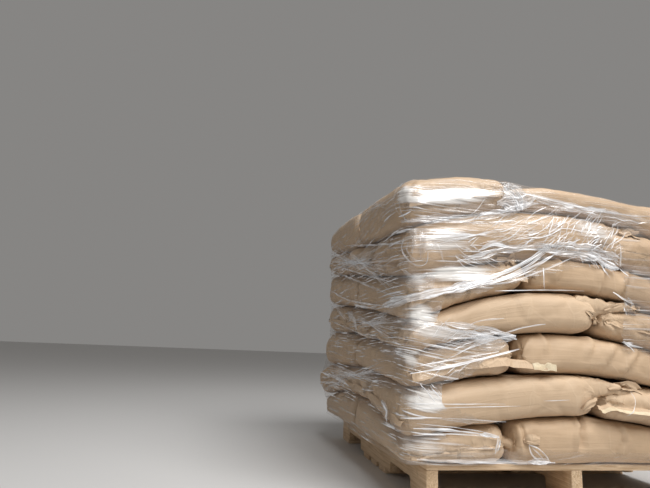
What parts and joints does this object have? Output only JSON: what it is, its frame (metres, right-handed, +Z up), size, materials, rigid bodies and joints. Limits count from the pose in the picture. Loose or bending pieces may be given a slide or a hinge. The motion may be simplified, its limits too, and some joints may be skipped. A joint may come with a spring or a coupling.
{
  "type": "pallet of sacks",
  "caption": "Pallet load of filled kraft paper sacks laid in interlocking courses and bound with clear stretch film, on a notched softwood stringer pallet open to forks on all four sides.",
  "frame": {"origin": "middle of the whole load's box, at floor level under the pallet", "axes": "+Z up; +Y along the stringers, the load's longer side; the front, with two fork entries, faces -Y; +X to the right"},
  "size_m": [1.1592, 1.3196, 1.0984],
  "materials": {
    "pallet_wood": "rough-sawn softwood with knots, bare",
    "kraft_paper": "matt brown kraft sack paper, creased",
    "stretch_film": "clear glossy wrinkled stretch film",
    "closure_tape": "creped paper tape with a sewn cotton thread",
    "nail_steel": "dull bright-steel nail heads"
  },
  "bodies": {
    "root": {"stringer_left": "pallet_wood", "stringer_centre": "pallet_wood", "stringer_right": "pallet_wood", "deck_board_1": "pallet_wood", "deck_board_2": "pallet_wood", "deck_board_3": "pallet_wood", "deck_board_4": "pallet_wood", "deck_board_5": "pallet_wood", "deck_board_6": "pallet_wood", "deck_board_7": "pallet_wood", "deck_board_8": "pallet_wood", "base_board_front": "pallet_wood", "base_board_inner_1": "pallet_wood", "base_board_inner_2": "pallet_wood", "base_board_inner_3": "pallet_wood", "base_board_back": "pallet_wood", "sack_1_1": "kraft_paper", "sack_1_2": "kraft_paper", "sack_1_3": "kraft_paper", "sack_1_4": "kraft_paper", "sack_1_5": "kraft_paper", "sack_2_1": "kraft_paper", "sack_2_2": "kraft_paper", "sack_2_3": "kraft_paper", "sack_2_4": "kraft_paper", "sack_2_5": "kraft_paper", "sack_3_1": "kraft_paper", "sack_3_2": "kraft_paper", "sack_3_3": "kraft_paper", "sack_3_4": "kraft_paper", "sack_3_5": "kraft_paper", "sack_4_1": "kraft_paper", "sack_4_2": "kraft_paper", "sack_4_3": "kraft_paper", "sack_4_4": "kraft_paper", "sack_4_5": "kraft_paper", "sack_5_1": "kraft_paper", "sack_5_2": "kraft_paper", "sack_5_3": "kraft_paper", "sack_5_4": "kraft_paper", "sack_5_5": "kraft_paper", "sack_6_1": "kraft_paper", "sack_6_2": "kraft_paper", "sack_6_3": "kraft_paper", "sack_6_4": "kraft_paper", "sack_6_5": "kraft_paper", "sack_7_1": "kraft_paper", "sack_7_2": "kraft_paper", "sack_7_3": "kraft_paper", "sack_7_4": "kraft_paper", "sack_7_5": "kraft_paper", "stretch_film": "stretch_film"}
  },
  "joints": []
}
